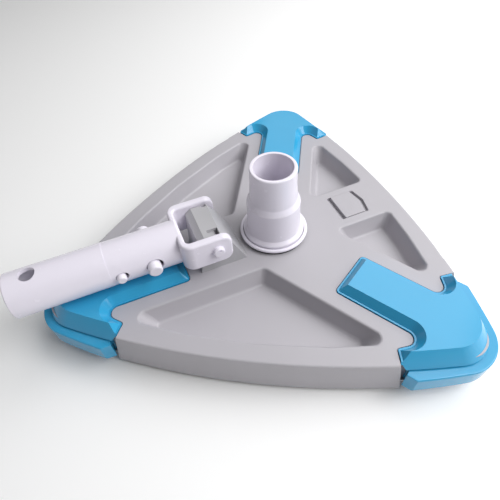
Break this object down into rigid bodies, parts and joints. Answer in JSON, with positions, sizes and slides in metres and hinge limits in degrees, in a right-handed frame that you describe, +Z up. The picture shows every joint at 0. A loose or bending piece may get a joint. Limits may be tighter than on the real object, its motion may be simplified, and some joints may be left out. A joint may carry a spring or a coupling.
{
  "type": "manual pool vacuum head",
  "caption": "Triangular weighted pool vacuum head with blue corner caps, a stepped swivelling hose spigot and a hinged fork handle for a pole.",
  "frame": {"origin": "bottom centre of the whole part's bounding box, on the plane the bristles rest on", "axes": "+Z up out of the deck, +X along the handle's line away from the pole end, +Y across"},
  "size_m": [0.283, 0.2978, 0.0925],
  "materials": {
    "body_grey": "fine satin",
    "bracket_grey": "satin",
    "cap_blue": "gloss",
    "bumper_blue": "gloss",
    "pvc_white": "soft gloss",
    "clip_white": "soft gloss",
    "weight_iron": "painted",
    "steel": "brushed",
    "seal_rubber": "matt",
    "brush_bar": "matt",
    "bristle": "matt"
  },
  "bodies": {
    "head": {"body_shell": "body_grey", "cover_plate": "body_grey", "pivot_bracket": "bracket_grey", "cap_screws": "steel", "bracket_screws": "steel", "brush_screws": "steel", "spigot_collar": "pvc_white", "spigot_seal": "seal_rubber", "corner_cap_left": "cap_blue", "bumper_band_left": "bumper_blue", "weight_left": "weight_iron", "corner_cap_rear": "cap_blue", "bumper_band_rear": "bumper_blue", "weight_rear": "weight_iron", "corner_cap_right": "cap_blue", "bumper_band_right": "bumper_blue", "weight_right": "weight_iron", "brush_bar_front": "brush_bar", "bristles_front": "bristle", "brush_bar_rear_left": "brush_bar", "bristles_rear_left": "bristle", "brush_bar_right": "brush_bar", "bristles_right": "bristle"},
    "spigot": {"hose_spigot": "pvc_white", "spigot_retaining_ring": "pvc_white"},
    "handle": {"pole_handle": "pvc_white", "pivot_pin": "pvc_white", "pin_clip": "steel", "clip_bend": "clip_white"},
    "clip_near": {"clip_arm_near": "clip_white"},
    "clip_far": {"clip_arm_far": "clip_white"}
  },
  "joints": [
    {"name": "spigot_swivel", "type": "hinge", "parent": "head", "child": "spigot", "pos_m": [0.0385, 0, 0.032], "axis": [0, 0, 1], "continuous": true},
    {"name": "handle_pivot", "type": "hinge", "parent": "head", "child": "handle", "pos_m": [-0.011, 0, 0.0566], "axis": [0, 1, 0], "range_deg": [0, 110]},
    {"name": "clip_near_press", "type": "hinge", "parent": "handle", "child": "clip_near", "pos_m": [-0.1055, 0, 0.0542], "axis": [0, 0, 1], "range_deg": [0, 5.3], "stiffness_Nm_per_rad": 8},
    {"name": "clip_far_press", "type": "hinge", "parent": "handle", "child": "clip_far", "pos_m": [-0.1055, 0, 0.0542], "axis": [0, 0, -1], "range_deg": [0, 5.3], "stiffness_Nm_per_rad": 8}
  ]
}
